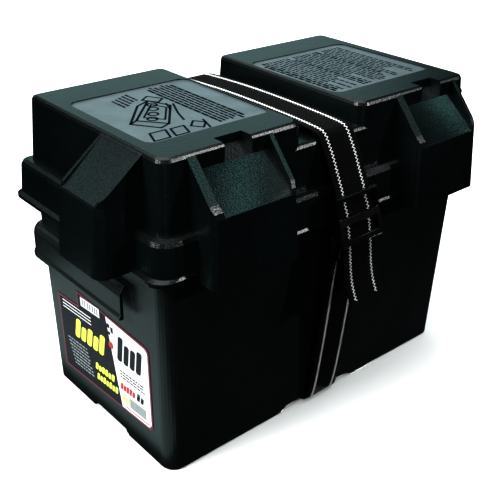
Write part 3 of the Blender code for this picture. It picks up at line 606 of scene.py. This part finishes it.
def left_panel(rng):
    """Seven long rows of words, the drawing, and five short rows."""
    shapes = []
    for i in range(7):
        x = -60.5 - 3.9 * i
        bold = 1.35 if i in (0, 6) else 1.05
        start, stop = 47 + 2 * (i % 3), -52 - 2 * (i % 2)
        shapes += word_row(rng, start, stop, x - bold, x + bold, (4.0, 11.0), 0.9)
    for points, width, closed in DRAWING:
        shapes += stroke(points, width, closed)
    for i in range(5):
        x = -106.0 - 4.4 * i
        shapes += word_row(rng, 48 - 2 * i, 30 - 3 * i, x - 1.1, x + 1.1, (2.5, 6.0), 1.0)
    return shapes


def right_panel(rng):
    """Rows of words over the whole panel, some of them bolder."""
    shapes = []
    for i in range(25):
        x = 41.0 + 4.3 * i
        bold = 1.6 if i in (0, 1, 9, 17) else 1.05
        start = 48 if i % 9 else 40
        stop = -52 + (rng.random() < 0.3) * rng.uniform(4, 30)
        shapes += word_row(rng, start, stop, x - bold, x + bold, (3.0, 10.0), 1.6)
    return shapes


def label_top(y):
    """The height of the printed fields' upper edge."""
    return 116.0 - (39.0 - y) * 10.0 / 102.0 - LABEL_MARGIN


def label_fields():
    """The sticker's black half, with the notch in its corner, and its white half with round corners."""
    black = [(71, LABEL_FOOT), (LABEL_SPLIT, LABEL_FOOT), (-6.3, label_top(-6))]
    black += [(37.4, label_top(37.4)), (37.4, 99.2), (71, 99.2)]
    white = [(LABEL_SPLIT - 0.3, LABEL_FOOT)] + arc((-61.5, 30.0), 5.6, 270, 180, 5)
    white += arc((-61.5, 98.4), 5.6, 180, 95, 5) + [(-6.9, label_top(-6))]
    return black, white


def label_yellow():
    shapes = slanted((45, 35.0, 25, 15.0, 5.5), 65.0, (21.0, 16.0, 19.0, 16.0, 22.0), 8.0, 0.24)
    centres = [15.5 - 5.2 * i for i in range(6)]
    shapes += slanted(centres, 44.5, (7.6, 6.4, 7.6, 7.6, 6.4, 7.6), 4.2, 0.2)
    centres = [14.5 - 4.9 * i for i in range(7)]
    shapes += slanted(centres, 33.8, (7.4, 6.2, 7.4, 6.2, 7.4, 6.2, 7.4), 3.9, 0.2)
    return shapes + slanted((-26.0, -30.5, -35.0), 32.5, (6.0, 5.0, 6.0), 3.4, 0.2)


def label_ink(rng):
    shapes = slanted((-24.5, -33.8, -43.0, -52.0), 73.0, (25.5, 20.5, 20.5, 23.5), 7.2, 0.16)
    shapes += [bar(-12.5, -8.5, 100.0, 104.0), bar(-17.5, -14.0, 97.0, 102.5), bar(-13.0, -9.5, 93.5, 96.5)]
    shapes += slanted((-49.0, -54.5), 44.0, (8.0, 6.5), 4.2, 0.2)
    for i in range(3):
        shapes += word_row(rng, -24.0, -60.0, 62.6 - 3.0 * i, 63.9 - 3.0 * i, (2.0, 5.5), 1.0)
    return shapes


def label_grey(rng):
    """The bars of the striped patch, small print on both halves, and a plain block."""
    shapes = [bar(y - 1.0, y + 1.0, 105.0, 111.0) for y in (29.5, 26.0, 21.0, 17.5, 13.0, 9.5, 6.0)]
    for i in range(8):
        across, up = 1.2 * i, 3.6 * i
        shapes += word_row(rng, 63.0 - across, 30.0 - across, 57.5 - up, 58.9 - up, (2.0, 6.0), 1.1)
    for i in range(3):
        shapes += word_row(rng, -24.5, -62.0, 53.6 - 2.0 * i, 54.2 - 2.0 * i, (3.0, 8.0), 0.9)
    return shapes + [bar(-60.0, -36.0, 30.0, 40.0)]


def label_red():
    """A dot between the halves, a row of bars and a thin line."""
    shapes = [arc((-12.6, 83.5), 3.6, 0, 330, 11)]
    shapes += slanted([-24.5 - 4.4 * i for i in range(5)], 43.8, (7.0, 6.0, 7.0, 7.0, 6.0), 3.6, 0.2)
    return shapes + [bar(-64.0, -30.0, 26.6, 27.6)]


def print_label(rng):
    """The sticker's printed layers, each a little thicker than the ones that it lies on."""
    black, white = label_fields()
    pale = [bar(18, 66, t, t + 1.1) for t in (96.2, 92.8, 89.4)] + [bar(2.5, 33, 103.4, 112.5)]
    layers = [
        ("label_black_field", FILM_BLACK, [black], 0.05),
        ("label_white_field", FILM_WHITE, [white], 0.05),
        ("label_yellow", FILM_YELLOW, label_yellow(), 0.1),
        ("label_pale", FILM_WHITE, pale, 0.1),
        ("label_ink", FILM_BLACK, label_ink(rng), 0.12),
        ("label_grey", FILM_GREY, label_grey(rng), 0.14),
        ("label_red", FILM_RED, label_red(), 0.16),
    ]
    for name, material, outlines, thick in layers:
        flat_shapes(name, outlines, material, "box", on_label, thick)


for name, shapes in (("left", left_panel(random.Random(5))), ("right", right_panel(random.Random(9)))):
    flat_shapes(f"panel_print_{name}", shapes, INK, "lid", on_panel, PRINT_THICK)
dress("box_label", FILM_MAROON)
print_label(random.Random(3))


# ---- floor, light and camera ---------------------------------------------------------------------


FLOOR_REACH = 30.0  # metres
SUN_WHITE = (1.0, 1.0, 1.0)
CAMERA_AT = (-463.6, -516.3, 490.1)
CAMERA_TURN = (48.55, -28.33, 1.23)  # degrees: from +X towards +Y, up from level, and a slight roll
CAMERA_LENS = 59.7  # for a sensor 36 mm wide
TEAL = (0.66, 1.0, 1.0)

# For each light: the direction that it comes from, its strength, its width in degrees and its colour.
SUNS = {
    "key": ((-0.8, 0.2, 0.56), 3.0, 25.0, SUN_WHITE),
    "overhead": ((-0.1, 0.15, 0.98), 3.4, 75.0, SUN_WHITE),
    "edge": ((0.59, -0.71, 0.39), 1.3, 2.0, SUN_WHITE),
    "fill": ((-0.35, -0.9, 0.25), 0.7, 20.0, SUN_WHITE),
    "back": ((0.49, 0.79, 0.36), 0.24, 40.0, TEAL),
    "front_ramps": ((0.6, -0.42, 0.68), 0.17, 8.0, (0.4, 1.0, 0.95)),
    "end_ramps": ((-0.36, 0.8, 0.47), 0.05, 8.0, (0.5, 1.0, 0.95)),
    "bounce": ((0.6, 0.15, -0.78), 0.6, 3.0, SUN_WHITE),
}


def make_floor():
    """A plain pale floor, kept out of the plastic's reflections and of the lights' way from below."""
    corners = [(x * FLOOR_REACH, y * FLOOR_REACH, 0) for x, y in ((-1, -1), (1, -1), (1, 1), (-1, 1))]
    mesh = bpy.data.meshes.new("floor")
    mesh.from_pydata(corners, [], [(0, 1, 2, 3)])
    floor = bpy.data.objects.new("floor", mesh)
    bpy.context.scene.collection.objects.link(floor)
    n = Nodes("floor_pale")
    colour = n.ramp(n.noise(3.0), (0.3, (0.84, 0.84, 0.84)), (0.7, (0.88, 0.88, 0.88)))
    n.set(Base_Color=colour, Roughness=n.level(n.noise(12.0), 0.7, 0.8))
    n.shader.inputs["Specular IOR Level"].default_value = 0.1
    mesh.materials.append(n.material)
    floor.visible_glossy = False
    floor.visible_diffuse = False
    floor.visible_shadow = False


def make_sun(name, towards, strength, angle, colour):
    light = bpy.data.lights.new(name, "SUN")
    light.energy = strength
    light.angle = math.radians(angle)
    light.color = colour
    lamp = bpy.data.objects.new(name, light)
    lamp.rotation_mode = "QUATERNION"
    lamp.rotation_quaternion = Vector(towards).normalized().to_track_quat("Z", "Y")
    bpy.context.scene.collection.objects.link(lamp)


def make_glow():
    """A flat light lying face up on the floor beside the sticker's wall, for the floor's shine on it."""
    light = bpy.data.lights.new("floor_glow", "AREA")
    light.shape = "RECTANGLE"
    light.size = 190.0 * MM
    light.size_y = 420.0 * MM
    light.energy = 0.2
    light.color = (0.78, 1.0, 1.0)
    glow = bpy.data.objects.new("floor_glow", light)
    glow.location = place(-275.0, 70.0, 1.5)
    glow.rotation_euler = (math.pi, 0, 0)
    glow.visible_camera = False
    bpy.context.scene.collection.objects.link(glow)


def make_world():
    """A white surround that is seen behind the floor but lights nothing."""
    world = bpy.data.worlds.new("studio")
    bpy.context.scene.world = world
    world.use_nodes = True
    back = world.node_tree.nodes["Background"]
    back.inputs["Color"].default_value = (0.86, 0.97, 1.0, 1.0)
    back.inputs["Strength"].default_value = 1.0
    world.cycles_visibility.diffuse = False
    world.cycles_visibility.glossy = False


def make_camera():
    yaw, pitch, roll = (math.radians(value) for value in CAMERA_TURN)
    forward = Vector((math.cos(pitch) * math.cos(yaw), math.cos(pitch) * math.sin(yaw), math.sin(pitch)))
    right = Vector((math.sin(yaw), -math.cos(yaw), 0.0))
    up = right.cross(forward)
    turned_right = right * math.cos(roll) + up * math.sin(roll)
    turned_up = up * math.cos(roll) - right * math.sin(roll)
    turn = Matrix((turned_right, turned_up, -forward)).transposed().to_4x4()
    data = bpy.data.cameras.new("camera")
    data.lens = CAMERA_LENS
    data.sensor_width = 36.0
    data.clip_start = 0.05
    camera = bpy.data.objects.new("camera", data)
    camera.matrix_world = Matrix.Translation(place(*CAMERA_AT)) @ turn
    bpy.context.scene.collection.objects.link(camera)
    bpy.context.scene.camera = camera


make_floor()
make_world()
for name, settings in SUNS.items():
    make_sun(name, *settings)
make_glow()
make_camera()
bpy.context.scene.view_settings.view_transform = "Standard"
bpy.context.scene.view_settings.look = "High Contrast"
